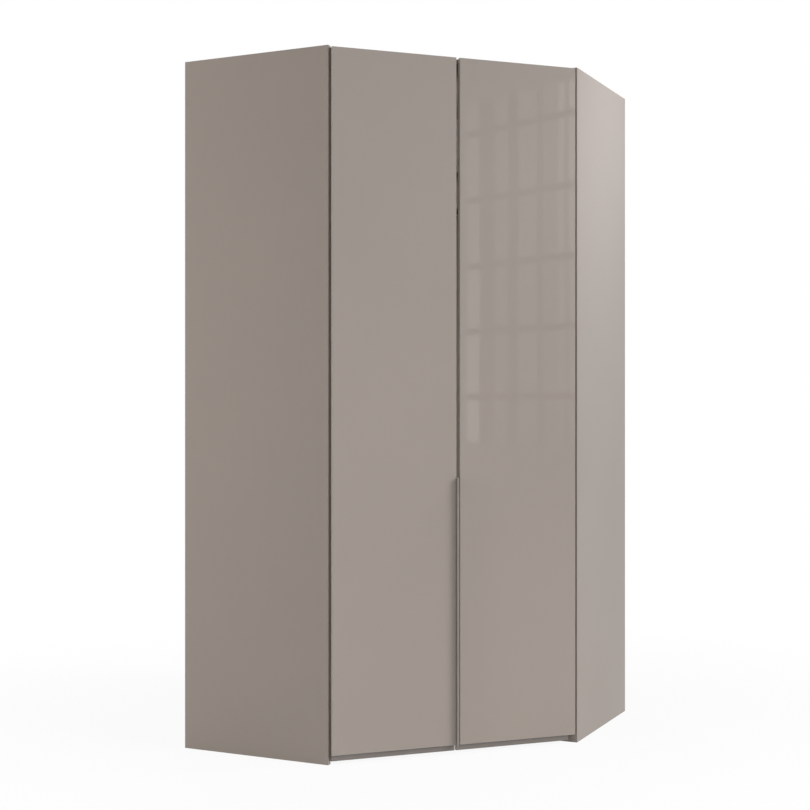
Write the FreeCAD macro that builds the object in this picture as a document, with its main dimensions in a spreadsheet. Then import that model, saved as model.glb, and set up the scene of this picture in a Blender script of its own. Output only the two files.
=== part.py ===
import FreeCAD, Part
import math
import os

import Sketcher

# Corner wardrobe with a five-sided plan: two short side panels, two walls that meet in the room's
# corner, and a diagonal front with two glass-faced doors on concealed hinges.
# Frame: +X to the viewer's right, the doors face -Y, +Z up, origin under the middle of the whole.

SIZES = {
    # Carcass
    "cabinet_height": 2360.0,
    "wall_length": 1200.0,
    "side_depth": 562.0,
    "panel_thickness": 16.0,
    "board_thickness": 16.0,
    "top_drop": 6.0,
    "base_height": 28.0,
    "base_rail_thickness": 16.0,
    # Back walls
    "back_recess": 10.0,
    "back_thickness": 3.0,
    "groove_depth": 8.0,
    "groove_clearance": 0.2,
    "strip_flange_width": 24.0,
    "strip_flange_thickness": 1.2,
    "strip_web_thickness": 2.0,
    "post_width": 40.0,
    # Hat shelf and clothes rails
    "upper_space_height": 362.0,
    "shelf_setback": 30.0,
    "shelf_notch_clearance": 0.3,
    "cleat_thickness": 16.0,
    "cleat_height": 60.0,
    "shelf_pin_radius": 2.5,
    "shelf_pin_buried": 9.0,
    "shelf_pin_out": 10.0,
    "rail_width": 15.0,
    "rail_depth": 30.0,
    "rail_wall": 1.2,
    "rail_drop": 32.0,
    "socket_base": 3.0,
    "socket_flange": 6.0,
    "socket_wall": 2.0,
    "socket_collar": 12.0,
    "socket_clearance": 0.3,
    # Connecting fittings between boards and side panels
    "cam_radius": 7.5,
    "cam_depth": 12.0,
    "cam_distance": 24.0,
    "cam_clearance": 0.1,
    "bolt_radius": 3.5,
    "bolt_buried": 11.0,
    # Wall brackets
    "bracket_thickness": 2.0,
    "bracket_width": 30.0,
    "bracket_height": 40.0,
    "bracket_reach": 36.0,
    "bracket_distance": 120.0,
    "bracket_hole_radius": 2.75,
    "bracket_hole_drop": 24.0,
    "bracket_screw_reach": 24.0,
    # Wood screws
    "screw_radius": 1.8,
    "screw_length": 13.0,
    "screw_head_radius": 3.4,
    "screw_head_height": 1.3,
    "screw_hole_clearance": 0.2,
    # Doors
    "door_proud": 8.0,
    "glass_thickness": 4.0,
    "glass_bevel": 0.8,
    "door_board_thickness": 16.0,
    "door_side_inset": 11.6,
    "left_door_gap": 3.8,
    "right_door_gap": 9.1,
    "door_bottom": 30.8,
    "door_top_drop": 5.3,
    "foot_strip_height": 19.8,
    "foot_strip_thickness": 10.0,
    "foot_strip_relief": 22.5,
    "foot_strip_inset": 2.8,
    "foot_strip_overhang": 10.7,
    "bumper_radius": 4.0,
    "bumper_height": 3.7,
    "bumper_clearance": 0.3,
    "bumper_distance": 40.0,
    # Grip profile on the right door's free edge
    "grip_length": 904.0,
    "grip_wall": 1.5,
    "grip_reach": 22.0,
    "grip_offset": 9.6,
    "grip_screw_inset": 60.0,
    # Concealed hinges
    "hinge_end_distance": 100.0,
    "pivot_inset": 7.5,
    "pivot_depth": 9.3,
    "pin_radius": 1.5,
    "pin_clearance": 0.05,
    "eye_wall": 1.2,
    "eye_clearance": 0.3,
    "cup_radius": 17.5,
    "cup_wall": 1.0,
    "cup_floor": 0.8,
    "cup_edge": 2.6,
    "cup_clearance": 0.1,
    "cup_rim": 0.7,
    "cup_flange": 1.2,
    "cup_wing_length": 62.0,
    "cup_wing_width": 18.0,
    "cup_wing_shift": 5.5,
    "cup_screw_spread": 48.0,
    "arm_thickness": 2.4,
    "arm_width": 10.0,
    "arm_bend": 3.6,
    "arm_clearance": 1.2,
    "arm_cover_width": 16.0,
    "arm_cover_height": 4.0,
    "arm_cover_overlap": 6.0,
    "plate_setback": 20.0,
    "plate_length": 44.0,
    "plate_base": 2.0,
    "plate_wing_length": 46.0,
    "plate_block_width": 14.0,
    "plate_screw_spread": 32.0,
    # Overrun of every cutting tool past the face that it opens
    "overrun": 2.0,
}
HINGE_COUNT = 5
GRIP_SCREW_COUNT = 4
# Sides of the plain prisms that stand for round shanks and heads of small fasteners
SHANK_SIDES = 6
HEAD_SIDES = 12
# Places of the two cam fittings, and of the two shelf pins, along a board's end
FITTING_SHARES = (0.18, 0.82)
# Local X axis of the wall-aligned pieces, in degrees from +X
WALL_TURN = 225.0


class Size:
    """A length or ratio, held as a number and as the sheet formula that gives it."""

    def __init__(self, formula, number):
        self.formula = formula
        self.number = number

    def join(self, sign, other, number):
        return Size(f"({self.formula} {sign} {other.formula})", number)

    def __add__(self, other):
        other = as_size(other)
        return self.join("+", other, self.number + other.number)

    def __sub__(self, other):
        other = as_size(other)
        return self.join("-", other, self.number - other.number)

    def __mul__(self, other):
        other = as_size(other)
        return self.join("*", other, self.number * other.number)

    def __truediv__(self, other):
        other = as_size(other)
        return self.join("/", other, self.number / other.number)

    def __neg__(self):
        return Size(f"(0 - {self.formula})", -self.number)

    __rmul__ = __mul__

    def __radd__(self, other):
        return as_size(other) + self

    def __rsub__(self, other):
        return as_size(other) - self


def as_size(item):
    return item if isinstance(item, Size) else Size(f"({item})", item)


def root(item):
    return Size(f"sqrt({item.formula})", math.sqrt(item.number))


doc = FreeCAD.newDocument("corner_wardrobe")
sheet = doc.addObject("Spreadsheet::Sheet", "sizes")
for row, (alias, value) in enumerate(SIZES.items(), start=1):
    sheet.set(f"A{row}", alias)
    sheet.set(f"B{row}", str(value))
    sheet.setAlias(f"B{row}", alias)
doc.recompute()


def size(alias):
    return Size(f"sizes.{alias}", SIZES[alias])


ZERO = as_size(0)
# Sine and cosine of the 45 degrees between the diagonal front and the walls
SLANT = Size("sin(45)", math.sqrt(0.5))
# Overhang of a mitred corner where the hinge arm turns by 135 degrees, per half thickness
MITRE_SHARE = Size("(1 + sqrt(2))", 1 + math.sqrt(2))

# Places that several pieces share
thick = size("panel_thickness")
depth = size("side_depth")
height = size("cabinet_height")
overrun = size("overrun")
wall_length = size("wall_length")
half_front = (wall_length - depth) / SLANT / 2
back_face = size("back_recess") + size("back_thickness")
inner_end = wall_length - thick
door_thickness = size("glass_thickness") + size("door_board_thickness")
door_back = door_thickness - size("door_proud")
# The closed doors lie just off the bumpers on the boards' front edges
board_front = door_back + size("bumper_height") + size("bumper_clearance")
# Ends of the boards' diagonal front edge, measured from either wall
board_corner = depth + thick - board_front / SLANT
shelf_corner = board_corner - size("shelf_setback") / SLANT
bottom_top = size("base_height") + size("board_thickness")
top_top = height - size("top_drop")
top_underside = top_top - size("board_thickness")
shelf_top = top_underside - size("upper_space_height")
shelf_underside = shelf_top - size("board_thickness")
door_top = height - size("door_top_drop")
door_height = door_top - size("door_bottom")
door_edge = half_front - size("door_side_inset")
# The right door is the narrower one, which makes room for the grip on its free edge
free_edge = {"left": size("left_door_gap"), "right": size("right_door_gap")}
door_width = {side: door_edge - gap for side, gap in free_edge.items()}
# Depths along Y: the grip stands in front of the line between the panels' outer front corners
room_corner_depth = (wall_length + depth) * SLANT
front_reach = size("door_proud") + size("grip_reach")
rear_reach = room_corner_depth - size("back_recess") * 2 * SLANT
front_line = (front_reach - rear_reach) / 2
corner_line = front_line + room_corner_depth
hinge_pitch = (door_height - size("hinge_end_distance") * 2) / (HINGE_COUNT - 1)


# Document helpers

def bind(item, prop, value):
    item.setExpression(prop, as_size(value).formula)


def put(item, x, y, z, rotation=FreeCAD.Rotation()):
    item.Placement = FreeCAD.Placement(FreeCAD.Vector(), rotation)
    bind(item, "Placement.Base.x", x)
    bind(item, "Placement.Base.y", y)
    bind(item, "Placement.Base.z", z)
    return item


def turned(degrees):
    return FreeCAD.Rotation(FreeCAD.Vector(0, 0, 1), degrees)


def pointing(x, y, z):
    """Rotation that carries a cylinder's axis onto the direction x, y, z."""
    return FreeCAD.Rotation(FreeCAD.Vector(0, 0, 1), FreeCAD.Vector(x, y, z))


def at_walls(along_left, along_right):
    """X and Y of a point, given its distances from the right wall and from the left wall."""
    return (along_right - along_left) * SLANT, corner_line - (along_left + along_right) * SLANT


def box(name, lengths, x, y, z, rotation=FreeCAD.Rotation()):
    item = doc.addObject("Part::Box", name)
    for prop, length in zip(("Length", "Width", "Height"), lengths):
        bind(item, prop, length)
    return put(item, x, y, z, rotation)


def wall_box(name, left_span, right_span, z_span):
    """Box square to the walls; each span is a pair of distances."""
    x, y = at_walls(left_span[0], right_span[0])
    lengths = [span[1] - span[0] for span in (left_span, right_span, z_span)]
    return box(name, lengths, x, y, z_span[0], turned(WALL_TURN))


def front_box(name, x_span, depth_span, z_span):
    """Box square to the doors; depths are measured back from the front line."""
    lengths = [span[1] - span[0] for span in (x_span, depth_span, z_span)]
    return box(name, lengths, x_span[0], front_line + depth_span[0], z_span[0])


def rod(name, radius, length, x, y, z, rotation=FreeCAD.Rotation()):
    item = doc.addObject("Part::Cylinder", name)
    bind(item, "Radius", radius)
    bind(item, "Height", length)
    return put(item, x, y, z, rotation)


def facet_rod(name, sides, radius, length, x, y, z, rotation=FreeCAD.Rotation()):
    """Prism in place of a small round rod; the radius reaches its corners."""
    item = doc.addObject("Part::Prism", name)
    item.Polygon = sides
    bind(item, "Circumradius", radius)
    bind(item, "Height", length)
    return put(item, x, y, z, rotation)


def bundle(name, members):
    item = doc.addObject("Part::Compound", name)
    item.Links = members
    return item


def fused(name, members):
    item = doc.addObject("Part::MultiFuse", name)
    item.Shapes = members
    return item


def cut(name, base, tools):
    item = doc.addObject("Part::Cut", name)
    item.Base = base
    item.Tool = tools[0] if len(tools) == 1 else bundle(f"{name}_tools", tools)
    return item


def copies(name, master, spots, rotation=FreeCAD.Rotation()):
    """Separate equal solids in one node: the master piece placed at each spot."""
    members = []
    for number, (x, y, z) in enumerate(spots, start=1):
        link = doc.addObject("App::Link", f"{name}_{number}")
        link.LinkedObject = master
        members.append(put(link, x, y, z, rotation))
    return bundle(name, members)


def new_body(name):
    return doc.addObject("PartDesign::Body", name)


def new_sketch(body, name):
    sketch = body.newObject("Sketcher::SketchObject", name)
    plane = next(item for item in body.Origin.OriginFeatures if item.Role == "XY_Plane")
    sketch.AttachmentSupport = (plane, "")
    sketch.MapMode = "FlatFace"
    return sketch


def hold(sketch, kind, geometry, value):
    """Add one driven constraint and bind it to its formula."""
    index = sketch.addConstraint(Sketcher.Constraint(kind, *geometry, value.number))
    sketch.setExpression(f"Constraints[{index}]", value.formula)


def outline(body, name, points):
    """Closed sketch of straight edges through the points."""
    sketch = new_sketch(body, name)
    places = [FreeCAD.Vector(x.number, y.number, 0) for x, y in points]
    for start, end in zip(places, places[1:] + places[:1]):
        sketch.addGeometry(Part.LineSegment(start, end), False)
    for index in range(len(points)):
        following = (index + 1) % len(points)
        sketch.addConstraint(Sketcher.Constraint("Coincident", index, 2, following, 1))
    for index, (x, y) in enumerate(points):
        hold(sketch, "DistanceX", (-1, 1, index, 1), x)
        hold(sketch, "DistanceY", (-1, 1, index, 1), y)
    return sketch


def ring(body, name, radius):
    """Sketch of one circle about the body's origin."""
    sketch = new_sketch(body, name)
    sketch.addGeometry(Part.Circle(FreeCAD.Vector(), FreeCAD.Vector(0, 0, 1), radius.number), False)
    sketch.addConstraint(Sketcher.Constraint("Coincident", 0, 3, -1, 1))
    hold(sketch, "Radius", (0,), radius)
    return sketch


def oval(body, name, width, span):
    """Sketch of an upright oval: two half circles joined by straight sides."""
    sketch = new_sketch(body, name)
    radius = width / 2
    lift = (span - width) / 2
    axis = FreeCAD.Vector(0, 0, 1)
    upper = Part.Circle(FreeCAD.Vector(0, lift.number, 0), axis, radius.number)
    lower = Part.Circle(FreeCAD.Vector(0, -lift.number, 0), axis, radius.number)
    right_low = FreeCAD.Vector(radius.number, -lift.number, 0)
    right_high = FreeCAD.Vector(radius.number, lift.number, 0)
    left_low = FreeCAD.Vector(-radius.number, -lift.number, 0)
    left_high = FreeCAD.Vector(-radius.number, lift.number, 0)
    sketch.addGeometry(Part.LineSegment(right_low, right_high), False)
    sketch.addGeometry(Part.ArcOfCircle(upper, 0, math.pi), False)
    sketch.addGeometry(Part.LineSegment(left_high, left_low), False)
    sketch.addGeometry(Part.ArcOfCircle(lower, math.pi, 2 * math.pi), False)
    for first, second in ((0, 1), (1, 2), (2, 3), (3, 0)):
        sketch.addConstraint(Sketcher.Constraint("Tangent", first, 2, second, 1))
    sketch.addConstraint(Sketcher.Constraint("Symmetric", 1, 3, 3, 3, -1, 1))
    sketch.addConstraint(Sketcher.Constraint("PointOnObject", 1, 3, -2))
    hold(sketch, "DistanceY", (3, 3, 1, 3), lift * 2)
    hold(sketch, "Radius", (1,), radius)
    return sketch


def pad(body, name, sketch, length, midplane=False):
    feature = body.newObject("PartDesign::Pad", name)
    feature.Profile = sketch
    feature.Midplane = midplane
    bind(feature, "Length", length)
    sketch.Visibility = False
    return feature


def pocket(body, name, sketch, length, midplane=False, flipped=False):
    feature = body.newObject("PartDesign::Pocket", name)
    feature.Profile = sketch
    feature.Midplane = midplane
    feature.Reversed = flipped
    bind(feature, "Length", length)
    return feature


def prism(name, points, length, x, y, z, rotation=FreeCAD.Rotation()):
    body = new_body(name)
    pad(body, f"{name}_pad", outline(body, f"{name}_outline", points), length)
    return put(body, x, y, z, rotation)


def rounded(body, name, places, radius):
    """Round the upright edges that stand at the given places of the body's last feature."""
    doc.recompute()
    last = body.Tip
    names = []
    for number, edge in enumerate(last.Shape.Edges, start=1):
        ends = [vertex.Point for vertex in edge.Vertexes]
        upright = len(ends) == 2 and ends[0].distanceToLine(ends[1], FreeCAD.Vector(0, 0, 1)) < 1e-6
        near = any(math.hypot(ends[0].x - x.number, ends[0].y - y.number) < 1e-6 for x, y in places)
        if upright and near:
            names.append(f"Edge{number}")
    feature = body.newObject("PartDesign::Fillet", name)
    feature.Base = (last, names)
    bind(feature, "Radius", radius)
    return feature


parts = []


def keep(item):
    parts.append(item)
    return item


# Wood screws: a shank with a flat head, the shank pointing along the local Z axis

def screw(name):
    shank = facet_rod(f"{name}_shank", SHANK_SIDES, size("screw_radius"), size("screw_length"),
                      ZERO, ZERO, ZERO)
    head = facet_rod(f"{name}_head", HEAD_SIDES, size("screw_head_radius"), size("screw_head_height"),
                     ZERO, ZERO, -size("screw_head_height"))
    return fused(f"{name}_screw", [shank, head])


wood_screw = screw("wood")
screw_hole = size("screw_radius") + size("screw_hole_clearance")


# Side panels: full-height boards that stand on the floor. Each has a groove for the back wall,
# blind holes for the connecting bolts of the boards, and holes for the shelf pins.

def wall_spot(side, across, along):
    """Place by a side panel: across is the distance from the other wall, along from its own."""
    return at_walls(across, along) if side == "left" else at_walls(along, across)


def wall_span_box(name, side, across_span, along_span, z_span):
    spans = (across_span, along_span) if side == "left" else (along_span, across_span)
    return wall_box(name, spans[0], spans[1], z_span)


# Direction from a side panel's inner face out through the panel
OUTWARD = {"left": (-1, -1, 0), "right": (1, -1, 0)}
fitting_places = [back_face + (board_corner - back_face) * share for share in FITTING_SHARES]
board_mids = {"bottom": size("base_height") + size("board_thickness") / 2,
              "top": top_underside + size("board_thickness") / 2}


def bolt_rods(name, side, levels, start, length, radius):
    """One rod for each connecting bolt of a side, from start out towards the panel."""
    spots = [(along, board_mids[level]) for along in fitting_places for level in levels]
    return [facet_rod(f"{name}_{number}", SHANK_SIDES, radius, length, *wall_spot(side, start, along), z,
                      pointing(*OUTWARD[side]))
            for number, (along, z) in enumerate(spots, start=1)]


def pin_rods(name, side, start, length, radius):
    z = shelf_underside - size("shelf_pin_radius")
    return [rod(f"{name}_{number}", radius, length, *wall_spot(side, start, along), z,
                pointing(*OUTWARD[side]))
            for number, along in enumerate(fitting_places, start=1)]


def side_panel(side):
    name = f"{side}_side_panel"
    board = wall_span_box(f"{name}_board", side, (inner_end, wall_length), (ZERO, depth), (ZERO, height))
    groove_play = size("groove_clearance")
    groove = wall_span_box(f"{name}_groove", side,
                           (inner_end - overrun, inner_end + size("groove_depth")),
                           (size("back_recess") - groove_play, back_face + groove_play),
                           (-overrun, height + overrun))
    bolts = bolt_rods(f"{name}_bolt_hole", side, board_mids, inner_end - overrun,
                      size("bolt_buried") + overrun, size("bolt_radius") + size("cam_clearance"))
    pins = pin_rods(f"{name}_pin_hole", side, inner_end - overrun,
                    size("shelf_pin_buried") + overrun, size("shelf_pin_radius") + size("cam_clearance"))
    return keep(cut(name, board, [groove, *bolts, *pins]))


for side in ("left", "right"):
    side_panel(side)


# Back walls: thin boards in the side panels' grooves, two to each wall, with a T-shaped joint strip
# pushed between them from behind, and a post in the rear corner that both walls are fixed to.

back_span = (size("base_height"), top_top)
back_end = inner_end + size("groove_depth") - size("groove_clearance")
back_middle = (back_face + inner_end) / 2
web_half = size("strip_web_thickness") / 2 + size("groove_clearance")
bracket_place = inner_end - size("bracket_distance")
bracket_hole_z = top_underside - size("bracket_hole_drop")


def bracket_hole(name, side):
    """Drill for a wall screw, square to the wall, through back wall and bracket."""
    inward = {"left": (1, -1, 0), "right": (-1, -1, 0)}[side]
    length = size("back_thickness") + size("bracket_thickness") + overrun * 2
    return rod(name, size("bracket_hole_radius"), length,
               *wall_spot(side, bracket_place, size("back_recess") - overrun),
               bracket_hole_z, pointing(*inward))


def back_wall(side):
    sheet_span = (size("back_recess"), back_face)
    # The left wall's inner board covers the end of the right wall's inner board in the corner
    start = size("back_recess") if side == "left" else back_face
    keep(wall_span_box(f"{side}_back_inner", side, (start, back_middle - web_half), sheet_span, back_span))
    outer = wall_span_box(f"{side}_back_outer_board", side, (back_middle + web_half, back_end),
                          sheet_span, back_span)
    keep(cut(f"{side}_back_outer", outer, [bracket_hole(f"{side}_back_hole", side)]))


def joint_strip(side):
    flange = wall_span_box(
        f"{side}_strip_flange", side,
        (back_middle - size("strip_flange_width") / 2, back_middle + size("strip_flange_width") / 2),
        (size("back_recess") - size("strip_flange_thickness"), size("back_recess")), back_span)
    web = wall_span_box(
        f"{side}_strip_web", side,
        (back_middle - size("strip_web_thickness") / 2, back_middle + size("strip_web_thickness") / 2),
        (size("back_recess") - size("strip_flange_thickness"), back_face), back_span)
    return keep(fused(f"{side}_back_strip", [flange, web]))


for side in ("left", "right"):
    back_wall(side)
    joint_strip(side)

post_end = back_face + size("post_width")
keep(wall_box("rear_corner_post", (back_face, post_end), (back_face, post_end), (bottom_top, top_underside)))


# Base rails on the floor: one along each wall, and one under the split of the bottom board, whose
# end shows beside the right panel's front edge.

base_span = (ZERO, size("base_height"))
rail_line = back_face + size("base_rail_thickness")
keep(wall_box("base_rail_left_wall", (back_face, inner_end), (back_face, rail_line), base_span))
keep(wall_box("base_rail_right_wall", (back_face, rail_line), (rail_line, inner_end), base_span))
keep(wall_box("base_rail_front", (depth - size("base_rail_thickness"), depth), (rail_line, inner_end),
              base_span))


# Bottom and top, each of two boards: a rectangle along the right wall, and the piece with the
# diagonal front edge. Cam discs sit in the faces that are out of sight.

def cam_holes(name, side, level):
    """Disc holes of one board's end: from below in the bottom, from above in the top."""
    length = size("cam_depth") + overrun
    radius = size("cam_radius") + size("cam_clearance")
    start = size("base_height") - overrun if level == "bottom" else top_top - size("cam_depth")
    across = inner_end - size("cam_distance")
    return [rod(f"{name}_{number}", radius, length, *wall_spot(side, across, along), start)
            for number, along in enumerate(fitting_places, start=1)]


def bolt_holes(name, side, level):
    return bolt_rods(name, side, [level], inner_end - size("cam_distance"),
                     size("cam_distance") + overrun, size("bolt_radius") + size("cam_clearance"))


def rectangle_board(name, corner, underside):
    return wall_box(name, (back_face, corner), (back_face, inner_end),
                    (underside, underside + size("board_thickness")))


def diagonal_board(name, corner, underside):
    """Four-sided board between the split, the left wall, the left panel and the diagonal front."""
    points = [(corner, back_face), (inner_end, back_face), (inner_end, corner), (corner, inner_end)]
    return prism(name, points, size("board_thickness"), ZERO, corner_line, underside, turned(WALL_TURN))


for level, underside in (("bottom", size("base_height")), ("top", top_underside)):
    for side, make_board in (("right", rectangle_board), ("left", diagonal_board)):
        blank = make_board(f"{level}_{side}_blank", board_corner, underside)
        cams = cam_holes(f"{level}_{side}_cam", side, level)
        bolts = bolt_holes(f"{level}_{side}_bolt_hole", side, level)
        keep(cut(f"{level}_board_{side}", blank, cams + bolts))


def connecting_fittings():
    """Cam discs in the boards and the bolts that they draw into the side panels."""
    discs = []
    bolts = []
    across = inner_end - size("cam_distance")
    length = size("cam_distance") - size("cam_radius") - size("cam_clearance") + size("bolt_buried")
    start = across + size("cam_radius") + size("cam_clearance")
    for side in ("left", "right"):
        bolts += bolt_rods(f"{side}_bolt", side, board_mids, start, length, size("bolt_radius"))
        for level, z in (("bottom", size("base_height")), ("top", top_top - size("cam_depth"))):
            discs += [rod(f"{side}_{level}_disc_{number}", size("cam_radius"), size("cam_depth"),
                          *wall_spot(side, across, along), z)
                      for number, along in enumerate(fitting_places, start=1)]
    keep(bundle("cam_discs", discs))
    keep(bundle("cam_bolts", bolts))


connecting_fittings()


# Hat shelf: two boards like the bottom, notched round the rear post, on cleats along the walls, a
# rail under the split, and pins in the side panels.

notch_end = post_end + size("shelf_notch_clearance")
shelf_right = rectangle_board("shelf_right_blank", shelf_corner, shelf_underside)
notch_span = (back_face - overrun, notch_end)
shelf_notch = wall_box("shelf_right_notch", notch_span, notch_span,
                       (shelf_underside - overrun, shelf_top + overrun))
keep(cut("shelf_board_right", shelf_right, [shelf_notch]))


def shelf_left():
    """The diagonal shelf board reaches back to the right board's set-back front edge."""
    points = [(shelf_corner, back_face), (inner_end, back_face), (inner_end, shelf_corner),
              (shelf_corner, inner_end)]
    return keep(prism("shelf_board_left", points, size("board_thickness"), ZERO, corner_line,
                      shelf_underside, turned(WALL_TURN)))


shelf_left()
cleat_span = (shelf_underside - size("cleat_height"), shelf_underside)
cleat_face = back_face + size("cleat_thickness")
keep(wall_box("shelf_cleat_left", (post_end, inner_end), (back_face, cleat_face), cleat_span))
keep(wall_box("shelf_cleat_right", (back_face, cleat_face), (post_end, inner_end), cleat_span))
shelf_rail_span = (shelf_corner - size("cleat_thickness") / 2, shelf_corner + size("cleat_thickness") / 2)
keep(wall_box("shelf_rail", shelf_rail_span, (cleat_face, inner_end), cleat_span))

pin_length = size("shelf_pin_out") + size("shelf_pin_buried")
shelf_pins = []
for side in ("left", "right"):
    shelf_pins += pin_rods(f"{side}_pin", side, inner_end - size("shelf_pin_out"), pin_length,
                           size("shelf_pin_radius"))
keep(bundle("shelf_pins", shelf_pins))


# Clothes rails: two upright oval tubes under the shelf, one along each wall, held at both ends in
# sockets with a screwed-on base.

rail_z = shelf_underside - size("rail_drop")
rail_place = (back_face + shelf_corner) / 2
UP = FreeCAD.Vector(0, 0, 1)
ALONG = {"left": FreeCAD.Vector(-1, -1, 0), "right": FreeCAD.Vector(1, -1, 0)}


def lying(direction):
    """Rotation that lays a body along a level direction with its local Y axis up."""
    return FreeCAD.Rotation(UP.cross(direction), UP, direction, "ZYX")


def clothes_rail(side, start):
    name = f"clothes_rail_{side}"
    body = new_body(name)
    length = inner_end - start - size("socket_base") * 2
    pad(body, f"{name}_tube", oval(body, f"{name}_outer", size("rail_width"), size("rail_depth")), length)
    bore = oval(body, f"{name}_inner", size("rail_width") - size("rail_wall") * 2,
                size("rail_depth") - size("rail_wall") * 2)
    pocket(body, f"{name}_bore", bore, length, flipped=True)
    x, y = wall_spot(side, start + size("socket_base"), rail_place)
    return keep(put(body, x, y, rail_z, lying(ALONG[side])))


def rail_socket():
    """Oval base plate with a collar round the rail's end; the base lies at the local origin."""
    body = new_body("rail_socket")
    play = size("socket_clearance") * 2
    bore_width = size("rail_width") + play
    bore_depth = size("rail_depth") + play
    wall = size("socket_wall") * 2
    flange = wall + size("socket_flange") * 2
    pad(body, "socket_plate", oval(body, "socket_plate_outline", bore_width + flange, bore_depth + flange),
        size("socket_base"))
    collar = oval(body, "socket_collar_outline", bore_width + wall, bore_depth + wall)
    pad(body, "socket_collar_pad", collar, size("socket_base") + size("socket_collar"))
    bore = oval(body, "socket_bore_outline", bore_width, bore_depth)
    bore.AttachmentOffset.Base.z = size("socket_base").number
    bind(bore, "AttachmentOffset.Base.z", size("socket_base"))
    pocket(body, "socket_bore", bore, size("socket_collar") + overrun, flipped=True)
    return body


socket = rail_socket()
sockets = []
# The left rail starts at the rail under the shelf's split, the right one at the left wall's cleat
for side, start in (("left", shelf_rail_span[1]), ("right", cleat_face)):
    clothes_rail(side, start)
    for end, across, direction in (("panel", inner_end, -ALONG[side]), ("inner", start, ALONG[side])):
        link = doc.addObject("App::Link", f"{side}_{end}_socket")
        link.LinkedObject = socket
        sockets.append(put(link, *wall_spot(side, across, rail_place), rail_z, lying(direction)))
keep(bundle("rail_sockets", sockets))


# Wall brackets under the top: angles that are screwed to the board and hold a screw into the wall.

def wall_bracket(side):
    name = f"{side}_wall_bracket"
    across_span = (bracket_place - size("bracket_width") / 2, bracket_place + size("bracket_width") / 2)
    upright = wall_span_box(f"{name}_upright", side, across_span,
                            (back_face, back_face + size("bracket_thickness")),
                            (top_underside - size("bracket_height"), top_underside))
    level = wall_span_box(f"{name}_level", side, across_span, (back_face, back_face + size("bracket_reach")),
                          (top_underside - size("bracket_thickness"), top_underside))
    x, y = wall_spot(side, bracket_place, back_face + size("bracket_screw_reach"))
    drill_length = size("bracket_thickness") + overrun * 2
    screw_drill = facet_rod(f"{name}_drill", SHANK_SIDES, screw_hole, drill_length, x, y,
                            top_underside - size("bracket_thickness") - overrun)
    keep(cut(name, fused(f"{name}_angle", [upright, level]),
             [bracket_hole(f"{name}_hole", side), screw_drill]))
    return x, y, top_underside - size("bracket_thickness")


keep(copies("bracket_screws", wood_screw, [wall_bracket(side) for side in ("left", "right")]))


# Door bumpers on the front edges of bottom and top, beside the doors' free edges

bumper_levels = (size("door_bottom") + (bottom_top - size("door_bottom")) / 2,
                 top_underside + size("board_thickness") / 2)
bumper = rod("bumper", size("bumper_radius"), size("bumper_height"), ZERO, ZERO, ZERO)
bumper_spots = [(x, front_line + board_front, z) for z in bumper_levels
                for x in (-size("bumper_distance"), size("bumper_distance"))]
keep(copies("door_bumpers", bumper, bumper_spots, pointing(0, -1, 0)))


# Doors: a board with a glass pane glued over its whole front, and a strip under its lower edge.
# Places on a door are measured inwards from its outer edge; side is -1 for left, 1 for right.

SIDES = {"left": -1, "right": 1}
board_face = size("glass_thickness") - size("door_proud")
pivot_x = door_edge - size("pivot_inset")
pivot_y = size("pivot_depth") - size("door_proud")
cup_place = size("cup_edge") + size("cup_radius")
cup_bottom = pivot_y - size("pin_radius") - size("pin_clearance") - size("eye_wall") - size("eye_clearance")
cup_depth = door_back - cup_bottom + size("cup_floor")
hinge_levels = [size("door_bottom") + size("hinge_end_distance") + hinge_pitch * number
                for number in range(HINGE_COUNT)]


def across(side, inset):
    """X of a place on a door."""
    return SIDES[side] * (door_edge - inset)


def door_span(side, start, end):
    ends = (across(side, start), across(side, end))
    return ends if side == "left" else ends[::-1]


def door_board(side):
    name = f"{side}_door_board"
    blank = front_box(f"{name}_blank", door_span(side, ZERO, door_width[side]), (board_face, door_back),
                      (size("door_bottom"), door_top))
    radius = size("cup_radius") + size("cup_clearance")
    depth_cut = cup_depth + size("cup_clearance")
    bores = [rod(f"{name}_bore_{number}", radius, depth_cut + overrun, across(side, cup_place),
                 front_line + door_back + overrun, z, pointing(0, -1, 0))
             for number, z in enumerate(hinge_levels, start=1)]
    return keep(cut(name, blank, bores))


def door_glass(side):
    """Pane with a fine polished bevel round its front face; the outline stands upright."""
    name = f"{side}_door_glass"
    body = new_body(name)
    width = door_width[side]
    corners = [(ZERO, ZERO), (width, ZERO), (width, door_height), (ZERO, door_height)]
    pane = pad(body, f"{name}_pane", outline(body, f"{name}_outline", corners), size("glass_thickness"))
    doc.recompute()
    front = max(range(len(pane.Shape.Faces)), key=lambda index: pane.Shape.Faces[index].CenterOfMass.z)
    bevel = body.newObject("PartDesign::Chamfer", f"{name}_bevel")
    bevel.Base = (pane, [f"Face{front + 1}"])
    bind(bevel, "Size", size("glass_bevel"))
    x = door_span(side, ZERO, width)[0]
    upright = FreeCAD.Rotation(FreeCAD.Vector(1, 0, 0), UP, FreeCAD.Vector(0, -1, 0), "XYZ")
    return keep(put(body, x, front_line + board_face, size("door_bottom"), upright))


def foot_strip(side):
    """The right strip reaches under the gap, and stops short beside the base rail's end."""
    start = ZERO if side == "left" else size("foot_strip_relief")
    reach = -size("foot_strip_inset") if side == "left" else size("foot_strip_overhang")
    end = door_width[side] + reach
    z_span = (size("door_bottom") - size("foot_strip_height"), size("door_bottom"))
    return keep(front_box(f"{side}_door_foot_strip", door_span(side, start, end),
                          (door_back - size("foot_strip_thickness"), door_back), z_span))


for side in SIDES:
    door_board(side)
    door_glass(side)
    foot_strip(side)


# Grip profile: a leg on the edge of the right door's board, a step behind the glass towards the left
# door, and a blade that stands out in front of the glass for the fingers.

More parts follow.
